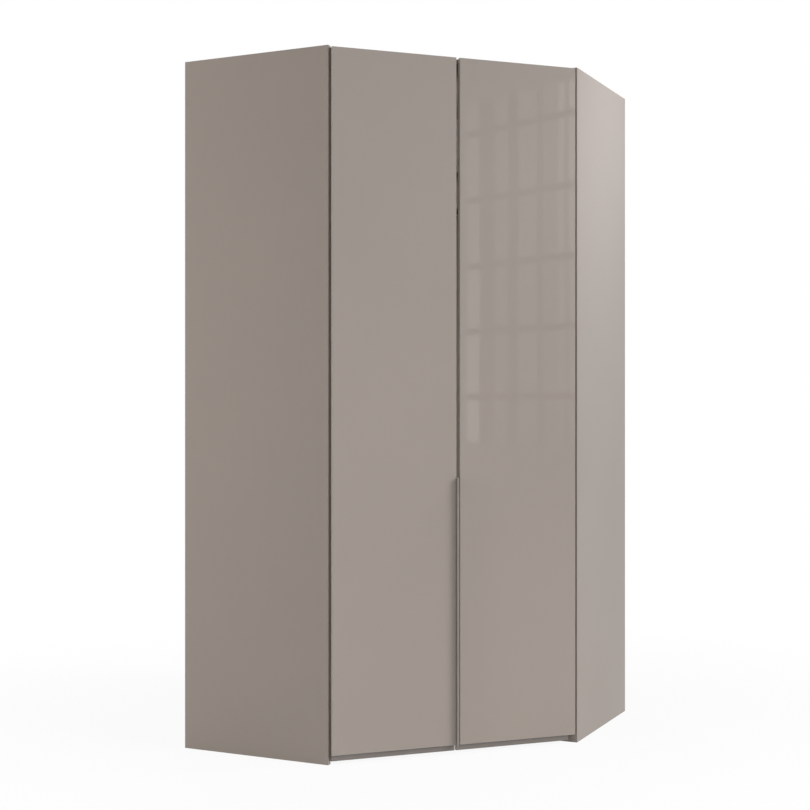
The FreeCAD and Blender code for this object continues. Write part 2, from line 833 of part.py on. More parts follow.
def grip_profile():
    wall = size("grip_wall")
    blade_right = -size("grip_offset")
    blade_left = blade_right - wall
    step_y = size("grip_reach") + size("glass_thickness")
    back_y = step_y + size("door_board_thickness")
    points = [(ZERO, back_y), (-wall, back_y), (-wall, step_y + wall), (blade_left, step_y + wall),
              (blade_left, ZERO), (blade_right, ZERO), (blade_right, step_y), (ZERO, step_y)]
    front = front_line - size("door_proud") - size("grip_reach")
    door_end = free_edge["right"]
    blank = prism("grip_extrusion", points, size("grip_length"), door_end, front, size("door_bottom"))
    levels = [size("door_bottom") + size("grip_screw_inset")
              + (size("grip_length") - size("grip_screw_inset") * 2) / (GRIP_SCREW_COUNT - 1) * number
              for number in range(GRIP_SCREW_COUNT)]
    middle = front_line + board_face + size("door_board_thickness") / 2
    drills = [facet_rod(f"grip_drill_{number}", SHANK_SIDES, screw_hole, wall + overrun * 2,
                        door_end - wall - overrun, middle, z, pointing(1, 0, 0))
              for number, z in enumerate(levels, start=1)]
    keep(cut("grip_profile", blank, drills))
    spots = [(door_end - wall, middle, z) for z in levels]
    keep(copies("grip_screws", wood_screw, spots, pointing(1, 0, 0)))


grip_profile()


# Concealed hinges. The pin crosses a cup sunk in the door's back, close to the door's edge, so that
# the opening edge clears the panel. The arm leaves the pin along the cup's floor, turns back out of
# the cup, passes behind the door's edge and lies on a plate on the panel's inner face.
# Local frame of arms and plates: origin on the pin, X towards the door's middle on the left door and
# mirrored on the right, Y back into the wardrobe.

pivot_across = size("door_side_inset") + size("pivot_inset")
edge_circle = root(size("pivot_inset") * size("pivot_inset")
                   + (door_back - pivot_y) * (door_back - pivot_y))
arm_half = size("arm_thickness") / 2
arm_line = edge_circle + size("arm_clearance") + arm_half
arm_corner = arm_line / SLANT
panel_face = thick - (pivot_across + pivot_y) * SLANT
panel_edge = (pivot_across - pivot_y) * SLANT
plate_start = panel_edge + size("plate_setback")
plate_end = plate_start + size("plate_length")
plate_middle = (plate_start + plate_end) / 2
# The pin's ends sit in the cup's round wall and stop flush with its outside
pin_far_side = cup_place - size("pivot_inset") + size("pin_radius")
pin_half = root(size("cup_radius") * size("cup_radius") - pin_far_side * pin_far_side)


def beside_panel(side, along, off):
    """Local place: along the panel's inner face from the pin, and off it into the wardrobe."""
    return -SIDES[side] * (off - along) * SLANT, (along + off) * SLANT


def slab(side, start, end, low, high):
    """Corners of a rectangle that lies along the panel's inner face."""
    return [beside_panel(side, along, off)
            for along, off in ((start, low), (end, low), (end, high), (start, high))]


def hinge_arm(side):
    name = f"{side}_hinge_arm"
    body = new_body(name)
    inward = -SIDES[side]
    mitre = arm_half * MITRE_SHARE
    outer_bend = (inward * (arm_corner + mitre), -arm_half)
    inner_bend = (inward * (arm_corner - mitre), arm_half)
    strip = [(ZERO, -arm_half), outer_bend, beside_panel(side, plate_end, arm_line + arm_half),
             beside_panel(side, plate_end, arm_line - arm_half), inner_bend, (ZERO, arm_half)]
    pad(body, f"{name}_strip", outline(body, f"{name}_strip_outline", strip), size("arm_width"), True)
    rounded(body, f"{name}_outer_round", [outer_bend], size("arm_bend"))
    rounded(body, f"{name}_inner_round", [inner_bend], size("arm_bend") - size("arm_thickness"))
    cover = slab(side, plate_start - size("arm_cover_overlap"), plate_end, arm_line - arm_half,
                 arm_line + arm_half + size("arm_cover_height"))
    pad(body, f"{name}_cover", outline(body, f"{name}_cover_outline", cover), size("arm_cover_width"), True)
    hole = size("pin_radius") + size("pin_clearance")
    eye = ring(body, f"{name}_eye_outline", hole + size("eye_wall"))
    pad(body, f"{name}_eye", eye, size("arm_width"), True)
    bore = ring(body, f"{name}_bore_outline", hole)
    pocket(body, f"{name}_bore", bore, size("arm_width") + overrun, True)
    return body


def hinge_plate(side):
    name = f"{side}_hinge_plate"
    body = new_body(name)
    base = slab(side, plate_start, plate_end, panel_face, panel_face + size("plate_base"))
    pad(body, f"{name}_base", outline(body, f"{name}_base_outline", base), size("plate_wing_length"), True)
    block = slab(side, plate_start, plate_end, panel_face, arm_line - arm_half)
    pad(body, f"{name}_block", outline(body, f"{name}_block_outline", block), size("plate_block_width"), True)
    x, y = beside_panel(side, plate_middle, panel_face - overrun)
    away = pointing(-SIDES[side], 1, 0)
    drill_length = size("plate_base") + overrun * 2
    half = size("plate_screw_spread") / 2
    drills = [facet_rod(f"{name}_drill_{number}", SHANK_SIDES, screw_hole, drill_length, x, y, z, away)
              for number, z in enumerate((-half, half), start=1)]
    return cut(f"{name}_drilled", body, drills)


def hinge_cup(side):
    """Cup with its flange on the door's back face; the origin is the pin's middle."""
    name = f"{side}_hinge_cup"
    x = -SIDES[side] * (cup_place - size("pivot_inset"))
    back = door_back - pivot_y
    flange_back = back + size("cup_flange")
    shell = rod(f"{name}_shell", size("cup_radius"), cup_depth, x, back, ZERO, pointing(0, -1, 0))
    rim = rod(f"{name}_rim", size("cup_radius") + size("cup_rim"), size("cup_flange"), x, flange_back, ZERO,
              pointing(0, -1, 0))
    wing_width = size("cup_wing_width")
    wing_x = x - SIDES[side] * size("cup_wing_shift")
    wing_half = size("cup_wing_length") / 2
    wing = box(f"{name}_wing", (wing_width, size("cup_flange"), size("cup_wing_length")),
               wing_x - wing_width / 2, back, -wing_half)
    hollow_length = flange_back + overrun - (cup_bottom - pivot_y)
    hollow = rod(f"{name}_hollow", size("cup_radius") - size("cup_wall"), hollow_length,
                 x, flange_back + overrun, ZERO, pointing(0, -1, 0))
    bore = rod(f"{name}_pin_bore", size("pin_radius"), pin_half * 2, ZERO, ZERO, -pin_half)
    half = size("cup_screw_spread") / 2
    drill_length = size("cup_flange") + overrun * 2
    drills = [facet_rod(f"{name}_drill_{number}", SHANK_SIDES, screw_hole, drill_length,
                        wing_x, flange_back + overrun, z, pointing(0, -1, 0))
              for number, z in enumerate((-half, half), start=1)]
    return cut(f"{name}_hollowed", fused(f"{name}_blank", [shell, rim, wing]), [hollow, bore, *drills])


def hinges(side):
    """The five hinges of one door, with each kind of piece as one group of equal solids."""
    x = SIDES[side] * pivot_x
    y = front_line + pivot_y
    spots = [(x, y, z) for z in hinge_levels]
    pin = rod(f"{side}_hinge_pin", size("pin_radius"), pin_half * 2, ZERO, ZERO, ZERO)
    keep(copies(f"{side}_hinge_pins", pin, [(x, y, z - pin_half) for z in hinge_levels]))
    keep(copies(f"{side}_hinge_cups", hinge_cup(side), spots))
    keep(copies(f"{side}_hinge_arms", hinge_arm(side), spots))
    keep(copies(f"{side}_hinge_plates", hinge_plate(side), spots))
    cup_x = SIDES[side] * (door_edge - cup_place - size("cup_wing_shift"))
    cup_y = front_line + door_back + size("cup_flange")
    half = size("cup_screw_spread") / 2
    cup_spots = [(cup_x, cup_y, z + lift) for z in hinge_levels for lift in (-half, half)]
    keep(copies(f"{side}_cup_screws", wood_screw, cup_spots, pointing(0, -1, 0)))
    plate_x, plate_y = beside_panel(side, plate_middle, panel_face + size("plate_base"))
    half = size("plate_screw_spread") / 2
    plate_spots = [(x + plate_x, y + plate_y, z + lift) for z in hinge_levels for lift in (-half, half)]
    keep(copies(f"{side}_plate_screws", wood_screw, plate_spots, pointing(SIDES[side], -1, 0)))


for side in SIDES:
    hinges(side)


# Every object has to be sound before anything is written

doc.recompute()
faults = [item.Name for item in doc.Objects if {"Invalid", "Error"} & set(item.State)]
faults += [item.Label for item in parts if item.Shape.isNull() or not item.Shape.isValid()]
if faults:
    raise RuntimeError(f"unsound objects: {faults}")

os.makedirs("parts", exist_ok=True)
for item in parts:
    item.Shape.exportStep(f"parts/{item.Label}.step")
print(f"{len(parts)} pieces, {sum(len(item.Shape.Solids) for item in parts)} solids")
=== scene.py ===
import math

import bpy
import numpy as np
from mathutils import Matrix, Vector


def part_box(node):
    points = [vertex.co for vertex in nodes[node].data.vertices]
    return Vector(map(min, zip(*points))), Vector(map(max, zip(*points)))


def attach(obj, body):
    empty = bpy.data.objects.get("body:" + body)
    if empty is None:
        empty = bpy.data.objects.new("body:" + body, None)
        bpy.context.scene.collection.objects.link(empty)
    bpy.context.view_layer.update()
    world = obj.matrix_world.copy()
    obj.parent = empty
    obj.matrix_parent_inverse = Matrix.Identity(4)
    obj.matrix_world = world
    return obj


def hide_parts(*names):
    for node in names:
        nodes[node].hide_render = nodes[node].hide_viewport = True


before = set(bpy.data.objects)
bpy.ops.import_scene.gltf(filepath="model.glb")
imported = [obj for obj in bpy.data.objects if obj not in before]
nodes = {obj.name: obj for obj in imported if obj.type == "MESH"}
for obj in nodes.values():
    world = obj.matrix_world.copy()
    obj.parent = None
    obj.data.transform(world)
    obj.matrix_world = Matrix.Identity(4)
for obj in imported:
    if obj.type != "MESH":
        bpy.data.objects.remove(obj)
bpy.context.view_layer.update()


# Side panels: tall pressboards in a satin pebble-grey film, with a band of the same film on the edges.
# They stand on the floor and carry everything else.

FILM_LINEAR = (0.305, 0.261, 0.23)


def blank_finish(name):
    """New node material; returns it with its node tree and its surface shader."""
    material = bpy.data.materials.new(name)
    material.use_nodes = True
    return material, material.node_tree, material.node_tree.nodes["Principled BSDF"]


def node(tree, kind, **settings):
    """Add a node; a setting is an attribute of it or the value of the input with that name."""
    item = tree.nodes.new(kind)
    for key, value in settings.items():
        if hasattr(item, key):
            setattr(item, key, value)
        else:
            item.inputs[key.replace("_", " ")].default_value = value
    return item


def place_of(tree):
    """Output with the point's place in the wardrobe's own frame, in metres."""
    return node(tree, "ShaderNodeTexCoord").outputs["Object"]


def speckle(tree, place, scale, detail=2.0, stretch=(1.0, 1.0, 1.0)):
    """Noise from 0 to 1 of that many waves per metre, drawn out along an axis by a small stretch."""
    mapping = node(tree, "ShaderNodeMapping")
    mapping.inputs["Scale"].default_value = stretch
    tree.links.new(place, mapping.inputs["Vector"])
    noise = node(tree, "ShaderNodeTexNoise", Scale=scale, Detail=detail)
    tree.links.new(mapping.outputs["Vector"], noise.inputs["Vector"])
    return noise.outputs["Fac"]


def between(tree, factor, low, high, start=0.3, end=0.7):
    """Number that goes from low to high as the factor goes from start to end."""
    span = node(tree, "ShaderNodeMapRange")
    for key, value in (("From Min", start), ("From Max", end), ("To Min", low), ("To Max", high)):
        span.inputs[key].default_value = value
    tree.links.new(factor, span.inputs["Value"])
    return span.outputs["Result"]


def blended(tree, factor, first, second):
    """Colour between two; each is a colour written out or an output of the tree."""
    mix = node(tree, "ShaderNodeMix", data_type="RGBA")
    tree.links.new(factor, mix.inputs["Factor"])
    for socket, colour in ((mix.inputs[6], first), (mix.inputs[7], second)):
        if isinstance(colour, tuple):
            socket.default_value = (*colour, 1.0)
        else:
            tree.links.new(colour, socket)
    return mix.outputs[2]


def shaded(colour, share):
    """The colour made lighter or darker by a share of itself."""
    return tuple(channel * share for channel in colour)


def soft_edge(tree, radius):
    """Normal rounded over a piece's edges, and a mask that is 1 right on them."""
    bevel = node(tree, "ShaderNodeBevel", samples=6, Radius=radius)
    flat = node(tree, "ShaderNodeNewGeometry").outputs["True Normal"]
    dot = node(tree, "ShaderNodeVectorMath", operation="DOT_PRODUCT")
    tree.links.new(bevel.outputs["Normal"], dot.inputs[0])
    tree.links.new(flat, dot.inputs[1])
    return bevel.outputs["Normal"], between(tree, dot.outputs["Value"], 1.0, 0.0, 0.85, 0.99)


def facing(tree, axis):
    """How far a face looks along the piece's own axis: 1 straight along it, -1 straight against it."""
    turn = node(tree, "ShaderNodeVectorTransform", vector_type="NORMAL",
                convert_from="WORLD", convert_to="OBJECT")
    tree.links.new(node(tree, "ShaderNodeNewGeometry").outputs["True Normal"], turn.inputs["Vector"])
    parts = node(tree, "ShaderNodeSeparateXYZ")
    tree.links.new(turn.outputs["Vector"], parts.inputs["Vector"])
    return parts.outputs[axis]


def raised(tree, height, depth, normal):
    """Bump of that depth in metres over the given normal."""
    bump = node(tree, "ShaderNodeBump", Strength=1.0, Distance=depth)
    tree.links.new(height, bump.inputs["Height"])
    tree.links.new(normal, bump.inputs["Normal"])
    return bump.outputs["Normal"]


def film_finish(name, colour, painted_edge_light=None):
    """Satin lacquer film on board: clouds of slightly uneven tone, fine pores, edges rubbed paler. The
    edges that look sideways can take painted light, a paler colour that lifts the gaps between the doors."""
    material, tree, shader = blank_finish(name)
    place = place_of(tree)
    cloud = speckle(tree, place, 2.3, 3.0)
    pores = speckle(tree, place, 950.0, 2.0)
    normal, edge = soft_edge(tree, 0.0012)
    tone = blended(tree, between(tree, cloud, 0.0, 1.0), shaded(colour, 0.975), shaded(colour, 1.025))
    tone = blended(tree, between(tree, pores, 0.0, 0.22), tone, shaded(colour, 0.86))
    tone = blended(tree, between(tree, edge, 0.0, 0.3, 0.0, 1.0), tone, shaded(colour, 1.25))
    # Painted light: the edges that look sideways take the paler colour.
    if painted_edge_light:
        sideways = node(tree, "ShaderNodeMath", operation="ABSOLUTE")
        tree.links.new(facing(tree, "X"), sideways.inputs[0])
        tone = blended(tree, between(tree, sideways.outputs[0], 0.0, 1.0, 0.9, 0.98), tone, painted_edge_light)
    tree.links.new(tone, shader.inputs["Base Color"])
    tree.links.new(between(tree, cloud, 0.34, 0.44), shader.inputs["Roughness"])
    tree.links.new(raised(tree, pores, 0.00002, normal), shader.inputs["Normal"])
    shader.inputs["IOR"].default_value = 1.5
    return material


def dress(finish, *names):
    """Give a finish to CAD nodes, in place of their plain one."""
    for name in names:
        for material_slot in nodes[name].material_slots:
            material_slot.material = finish


film = film_finish("pebble_film", FILM_LINEAR)
dress(film, "left_side_panel", "right_side_panel")


# Base rails, bottom, top and rear post: pressboards in the same film. Hidden fittings draw the bottom and
# the top to the side panels, the rails carry the bottom, and both walls meet on the post.

dress(film, "base_rail_left_wall", "base_rail_right_wall", "base_rail_front",
      "bottom_board_left", "bottom_board_right", "top_board_left", "top_board_right", "rear_corner_post")


# Back walls: thin fibreboards pushed into the panels' grooves. Their inner side has a printed foil, their
# outer side shows the raw pressed fibres.

FOIL_LINEAR = (0.335, 0.298, 0.268)
FIBRE_LINEAR = (0.235, 0.152, 0.088)


def back_wall_finish():
    """Foil where the face looks into the wardrobe, brown fibres where it looks at the room's wall."""
    material, tree, shader = blank_finish("foil_and_fibre")
    place = place_of(tree)
    threads = speckle(tree, place, 320.0, 2.0, (1.0, 1.0, 0.06))
    weft = speckle(tree, place, 320.0, 2.0, (0.08, 0.08, 1.0))
    fibres = speckle(tree, place, 180.0, 6.0, (1.0, 1.0, 0.35))
    weave = node(tree, "ShaderNodeMath", operation="MULTIPLY")
    tree.links.new(threads, weave.inputs[0])
    tree.links.new(weft, weave.inputs[1])
    foil = blended(tree, between(tree, weave.outputs[0], 0.0, 1.0, 0.12, 0.4),
                   shaded(FOIL_LINEAR, 0.9), shaded(FOIL_LINEAR, 1.1))
    raw = blended(tree, between(tree, fibres, 0.0, 1.0, 0.25, 0.75),
                  shaded(FIBRE_LINEAR, 0.62), shaded(FIBRE_LINEAR, 1.3))
    behind = between(tree, facing(tree, "Y"), 0.0, 1.0, 0.45, 0.55)
    tree.links.new(blended(tree, behind, foil, raw), shader.inputs["Base Color"])
    tree.links.new(between(tree, behind, 0.5, 0.82, 0.0, 1.0), shader.inputs["Roughness"])
    normal = node(tree, "ShaderNodeNewGeometry").outputs["Normal"]
    tree.links.new(raised(tree, fibres, 0.00008, normal), shader.inputs["Normal"])
    return material


dress(back_wall_finish(), "left_back_inner", "left_back_outer", "right_back_inner", "right_back_outer")


# Joint strips between the back boards, and the clothes rails' sockets: moulded plastic, pushed on or
# screwed on.

PLASTIC_LINEAR = (0.235, 0.215, 0.2)


def plastic_finish():
    """Fine eroded texture of a moulding tool, a little shinier where it is rubbed on the edges."""
    material, tree, shader = blank_finish("moulded_plastic")
    place = place_of(tree)
    grain = speckle(tree, place, 1400.0, 3.0)
    normal, edge = soft_edge(tree, 0.0006)
    tone = blended(tree, between(tree, grain, 0.0, 1.0),
                   shaded(PLASTIC_LINEAR, 0.9), shaded(PLASTIC_LINEAR, 1.1))
    tone = blended(tree, between(tree, edge, 0.0, 0.4, 0.0, 1.0), tone, shaded(PLASTIC_LINEAR, 1.35))
    tree.links.new(tone, shader.inputs["Base Color"])
    tree.links.new(between(tree, edge, 0.55, 0.4, 0.0, 1.0), shader.inputs["Roughness"])
    tree.links.new(raised(tree, grain, 0.00003, normal), shader.inputs["Normal"])
    return material


dress(plastic_finish(), "left_back_strip", "right_back_strip", "rail_sockets")


# Hat shelf: two pressboards in the same film. They lie on cleats along the walls and on a rail under their
# split, which are narrow boards of the same kind.

dress(film, "shelf_board_left", "shelf_board_right", "shelf_cleat_left", "shelf_cleat_right", "shelf_rail")


# Clothes rails: drawn oval steel tubes with a bright chrome coat, which the hangers' hooks have scratched a
# little. The plastic sockets hold them at both ends.

CHROME_LINEAR = (0.62, 0.62, 0.63)


def chrome_finish():
    """Bright plating with hairline scratches across the tube, and a faint haze."""
    material, tree, shader = blank_finish("rail_chrome")
    place = place_of(tree)
    scratches = speckle(tree, place, 700.0, 4.0, (1.0, 1.0, 0.05))
    haze = speckle(tree, place, 14.0, 3.0)
    tone = blended(tree, between(tree, haze, 0.0, 1.0),
                   shaded(CHROME_LINEAR, 0.93), shaded(CHROME_LINEAR, 1.05))
    tree.links.new(tone, shader.inputs["Base Color"])
    tree.links.new(between(tree, scratches, 0.06, 0.22), shader.inputs["Roughness"])
    normal = node(tree, "ShaderNodeNewGeometry").outputs["Normal"]
    tree.links.new(raised(tree, scratches, 0.000004, normal), shader.inputs["Normal"])
    shader.inputs["Metallic"].default_value = 1.0
    return material


dress(chrome_finish(), "clothes_rail_left", "clothes_rail_right")


# Connecting fittings: cast cams let into the top and the bottom, which a screwdriver turns to draw in the
# bolts that are screwed into the side panels. The shelf lies on turned pins.

NICKEL_LINEAR = (0.5, 0.485, 0.46)
CAM_RADIUS = 0.0075
CAM_HEIGHT = 0.012
FRONT_CAM_PLACE = (0.49657, -0.49889)
TURN_STEPS = 24
TWIST_RADIANS = 0.7
CUT_FLANK_END = 1.5
CUT_TIP_SHARE = 0.3


def nickel_finish():
    """Dull plating: cloudy tone, fine pits from the casting, brighter worn edges."""
    material, tree, shader = blank_finish("fitting_nickel")
    place = place_of(tree)
    cloud = speckle(tree, place, 60.0, 4.0)
    pits = speckle(tree, place, 1900.0, 2.0)
    normal, edge = soft_edge(tree, 0.0004)
    tone = blended(tree, between(tree, cloud, 0.0, 1.0),
                   shaded(NICKEL_LINEAR, 0.86), shaded(NICKEL_LINEAR, 1.08))
    tone = blended(tree, between(tree, edge, 0.0, 0.5, 0.0, 1.0), tone, shaded(NICKEL_LINEAR, 1.35))
    tree.links.new(tone, shader.inputs["Base Color"])
    tree.links.new(between(tree, cloud, 0.26, 0.4), shader.inputs["Roughness"])
    tree.links.new(raised(tree, pits, 0.00001, normal), shader.inputs["Normal"])
    shader.inputs["Metallic"].default_value = 1.0
    return material


def cross_cut(x, y, half_width, reach, depth):
    """Depth of a screwdriver's cross at points of a face: whole along the middle of either arm, running
    out over the flanks, up to so many half widths, and over the last share of the reach at the tips."""
    across = np.minimum(np.abs(x), np.abs(y))
    along = np.maximum(np.abs(x), np.abs(y))
    flank = np.clip(CUT_FLANK_END - across / half_width, 0.0, 1.0)
    tip = np.clip((reach - along) / (CUT_TIP_SHARE * reach), 0.0, 1.0)
    return depth * (flank * tip)


def turned_pieces(name, outline, places, outward, cut=None):
    """Equal turned pieces at several places: the outline's radius and height go round the outward axis, one
    for all or one for each, and every piece is turned a little further than the last. A cross cut lowers
    the last rings of points, which make the end face."""
    radius, height = np.array(outline[1:-1]).T
    turn = np.linspace(0.0, 2.0 * np.pi, TURN_STEPS, endpoint=False)
    x, y = radius[:, None] * np.cos(turn), radius[:, None] * np.sin(turn)
    level = np.broadcast_to(height[:, None], x.shape).copy()
    top = outline[-1][1]
    if cut:
        face = np.arange(len(radius))[:, None] >= len(radius) - cut["rings"]
        level -= np.where(face, cross_cut(x, y, cut["half_width"], cut["reach"], cut["depth"]), 0.0)
        top -= cut["depth"]
    middles = [[0.0, 0.0, outline[0][1]], [0.0, 0.0, top]]
    local = np.concatenate([np.stack([x, y, level], -1).reshape(-1, 3), middles])

    count = len(places)
    axis = np.broadcast_to(np.array(outward, float), (count, 3))
    axis = axis / np.linalg.norm(axis, axis=1, keepdims=True)
    helper = np.where(np.abs(axis[:, 2:]) < 0.9, [0.0, 0.0, 1.0], [1.0, 0.0, 0.0])
    first = np.cross(helper, axis)
    first /= np.linalg.norm(first, axis=1, keepdims=True)
    second = np.cross(axis, first)
    twist = TWIST_RADIANS * np.arange(count)[:, None]
    along_first = local[None, :, 0] * np.cos(twist) - local[None, :, 1] * np.sin(twist)
    along_second = local[None, :, 0] * np.sin(twist) + local[None, :, 1] * np.cos(twist)
    points = (np.array(places)[:, None] + along_first[..., None] * first[:, None]
              + along_second[..., None] * second[:, None] + local[None, :, 2, None] * axis[:, None])

    ring = np.arange(radius.size * TURN_STEPS).reshape(radius.size, TURN_STEPS)
    after = np.roll(ring, -1, 1)
    sides = np.stack([ring[:-1], after[:-1], after[1:], ring[1:]], -1).reshape(-1, 4)
    low, high = ring.size, ring.size + 1
    closing = np.concatenate([np.stack([np.full(TURN_STEPS, low), after[0], ring[0]], -1),
                              np.stack([np.full(TURN_STEPS, high), ring[-1], after[-1]], -1)])
    shift = np.arange(count)[:, None, None] * len(local)
    faces = (sides[None] + shift).reshape(-1, 4).tolist() + (closing[None] + shift).reshape(-1, 3).tolist()
    mesh = bpy.data.meshes.new(name)
    mesh.from_pydata(points.reshape(-1, 3).tolist(), [], faces)
    piece = bpy.data.objects.new(name, mesh)
    bpy.context.scene.collection.objects.link(piece)
    return piece


def set_in(piece, finish, cad_node, body):
    """Give a made piece its finish and slot, let it stand for a CAD node, and fix it to a body."""
    piece.data.materials.append(finish)
    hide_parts(cad_node)
    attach(piece, body)


nickel = nickel_finish()
dress(nickel, "cam_bolts", "shelf_pins")

cam_low, cam_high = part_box("cam_discs")
rear_cam_place = (cam_high.x - CAM_RADIUS, cam_high.y - CAM_RADIUS)
cam_outline = [(0.0, -CAM_HEIGHT), (0.0066, -CAM_HEIGHT), (CAM_RADIUS, -0.011), (CAM_RADIUS, -0.0007),
               (0.0068, 0.0), (0.0052, 0.0), (0.0042, 0.0), (0.0033, 0.0), (0.0024, 0.0), (0.0015, 0.0),
               (0.0007, 0.0), (0.0, 0.0)]
cam_cut = {"rings": 7, "half_width": 0.0011, "reach": 0.0046, "depth": 0.0028}
cam_places = [(hand * x, y, face) for face in (cam_low.z, cam_high.z)
              for hand in (-1, 1) for x, y in (FRONT_CAM_PLACE, rear_cam_place)]
cam_outwards = [(0, 0, -1)] * 4 + [(0, 0, 1)] * 4
set_in(turned_pieces("slotted_cams", cam_outline, cam_places, cam_outwards, cam_cut),
       nickel, "cam_discs", "carcass")


# Wall brackets: folded steel angles under the top's rear edges, held up by pan-head screws. A bore in each
# takes the screw that holds the wardrobe to the room's wall.

SCREW_HEAD_RADIUS = 0.0034
SCREW_HEAD_HEIGHT = 0.0013
SCREW_SHANK_RADIUS = 0.0014
screw_head = [(SCREW_SHANK_RADIUS, 0.0), (SCREW_HEAD_RADIUS, 0.0), (SCREW_HEAD_RADIUS, 0.0004),
              (0.0031, 0.0009), (0.0026, 0.0012)]
screw_head += [(radius, SCREW_HEAD_HEIGHT) for radius in (0.0021, 0.0017, 0.0013, 0.0009, 0.0005, 0.0)]
screw_shank = [(0.0, -0.013), (0.0004, -0.0122), (0.0012, -0.0098), (SCREW_SHANK_RADIUS, -0.004)]
screw_outline = screw_shank + screw_head
screw_cut = {"rings": 5, "half_width": 0.00045, "reach": 0.002, "depth": 0.0009}

dress(nickel, "left_wall_bracket", "right_wall_bracket")
low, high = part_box("bracket_screws")
bracket_places = [(hand * (high.x - SCREW_HEAD_RADIUS), (low.y + high.y) / 2, low.z + SCREW_HEAD_HEIGHT)
                  for hand in (-1, 1)]
set_in(turned_pieces("bracket_pan_screws", screw_outline, bracket_places, (0, 0, -1), screw_cut),
       nickel, "bracket_screws", "carcass")


# Hinges: pressed steel cups let into the doors' backs, with a pin across each, and bent arms on die-cast
# plates. Screws through the cups' wings go into the doors, screws through the plates into the side panels,
# which stand slanted to the doors, and two screws on each arm set the door straight.

HINGE_COUNT = 5
CUP_SCREW_SPREAD = 0.048
PLATE_SCREW_SPREAD = 0.032
ARM_HALF_WIDTH = 0.008
ARM_DEPTH = 0.0064
SETTING_SCREW_STEPS = (0.013, 0.037)
SETTING_SCREW_DEPTH = 0.0015
CAD_HEAD_SIDES = 12
setting_outline = [(0.0, -SETTING_SCREW_DEPTH), (SCREW_SHANK_RADIUS, -SETTING_SCREW_DEPTH)] + screw_head
slant = math.sqrt(0.5)


def level_pairs(lowest, highest, spread):
    """Heights of two screws at each of the evenly spaced hinges, from the lowest to the highest screw."""
    lower = np.linspace(lowest, highest - spread, HINGE_COUNT)
    return np.concatenate([lower, lower + spread])


for side, hand in (("left", -1), ("right", 1)):
    dress(nickel, f"{side}_hinge_cups", f"{side}_hinge_pins", f"{side}_hinge_arms", f"{side}_hinge_plates")
    low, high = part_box(f"{side}_cup_screws")
    heights = level_pairs(low.z + SCREW_HEAD_RADIUS, high.z - SCREW_HEAD_RADIUS, CUP_SCREW_SPREAD)
    places = [((low.x + high.x) / 2, high.y - SCREW_HEAD_HEIGHT, z) for z in heights]
    set_in(turned_pieces(f"{side}_cup_pan_screws", screw_outline, places, (0, 1, 0), screw_cut),
           nickel, f"{side}_cup_screws", f"{side}_door")
    low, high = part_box(f"{side}_plate_screws")
    # The CAD heads are polygons with a flat side at the top, the bottom and both ends.
    flat_half = SCREW_HEAD_RADIUS * math.cos(math.pi / CAD_HEAD_SIDES)
    seat = (flat_half + SCREW_HEAD_HEIGHT) * slant
    near_x = high.x if side == "left" else low.x
    heights = level_pairs(low.z + flat_half, high.z - flat_half, PLATE_SCREW_SPREAD)
    places = [(near_x + hand * seat, high.y - seat, z) for z in heights]
    set_in(turned_pieces(f"{side}_plate_pan_screws", screw_outline, places, (-hand, 1, 0), screw_cut),
           nickel, f"{side}_plate_screws", "carcass")
    low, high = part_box(f"{side}_hinge_arms")
    rear_x = (low.x if side == "left" else high.x) - hand * ARM_DEPTH * slant
    heights = np.linspace(low.z + ARM_HALF_WIDTH, high.z - ARM_HALF_WIDTH, HINGE_COUNT)
    places = [(rear_x - hand * step * slant, high.y - step * slant, z)
              for z in heights for step in SETTING_SCREW_STEPS]
    setting_screws = turned_pieces(f"{side}_setting_screws", setting_outline, places,
                                   (-hand, 1, 0), screw_cut)
    setting_screws.data.materials.append(nickel)
    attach(setting_screws, "carcass")


# Doors: boards in the same film, with painted light on their upright edges, a much paler colour that lifts
# the gaps round the doors, behind panes of glass, which are lacquered on their back and glued on over the
# whole front. Strips close the gap under the doors, in painted shade: a colour darker than the film.

LACQUER_LINEAR = (0.372, 0.32, 0.2825)
GLASS_EDGE_LINEAR = (0.34, 0.345, 0.315)
# Painted light for the door boards' upright edges, much paler than the film.
EDGE_PAINTED_LIGHT_LINEAR = (0.58, 0.52, 0.47)
# Painted shade: the foot strips take a colour darker than the film.
FOOT_STRIP_PAINTED_SHADE_LINEAR = (0.225, 0.198, 0.18)


def lacquered_glass():
    """Deep even colour under a polished face with a faint roller wave; bevelled edges show the glass."""
    material, tree, shader = blank_finish("lacquered_glass")
    place = place_of(tree)
    cloud = speckle(tree, place, 1.7, 2.0)
    smears = speckle(tree, place, 9.0, 5.0, (1.0, 1.0, 0.4))
    wave = speckle(tree, place, 3.2, 1.0, (1.0, 1.0, 0.45))
    edge = between(tree, facing(tree, "Y"), 0.0, 1.0, -0.98, -0.9)
    tone = blended(tree, between(tree, cloud, 0.0, 1.0),
                   shaded(LACQUER_LINEAR, 0.985), shaded(LACQUER_LINEAR, 1.015))
    tone = blended(tree, edge, tone, GLASS_EDGE_LINEAR)
    tree.links.new(tone, shader.inputs["Base Color"])
    tree.links.new(between(tree, smears, 0.015, 0.035), shader.inputs["Roughness"])
    normal = node(tree, "ShaderNodeNewGeometry").outputs["Normal"]
    tree.links.new(raised(tree, wave, 0.00025, normal), shader.inputs["Normal"])
    shader.inputs["IOR"].default_value = 1.52
    return material


# The door boards' upright edges take painted light, a much paler colour than the film.
dress(film_finish("film_and_painted_edge_light", FILM_LINEAR, EDGE_PAINTED_LIGHT_LINEAR), "left_door_board", "right_door_board")
dress(lacquered_glass(), "left_door_glass", "right_door_glass")
# The foot strips take painted shade, a colour darker than the film.
dress(film_finish("foot_strip_painted_shade", FOOT_STRIP_PAINTED_SHADE_LINEAR), "left_door_foot_strip", "right_door_foot_strip")


# Bumpers: small moulded rubber domes with a flat back, stuck on the front edges of the bottom and the top,
# where the doors meet them.

RUBBER_LINEAR = (0.5, 0.49, 0.47)
BUMPER_RADIUS = 0.004


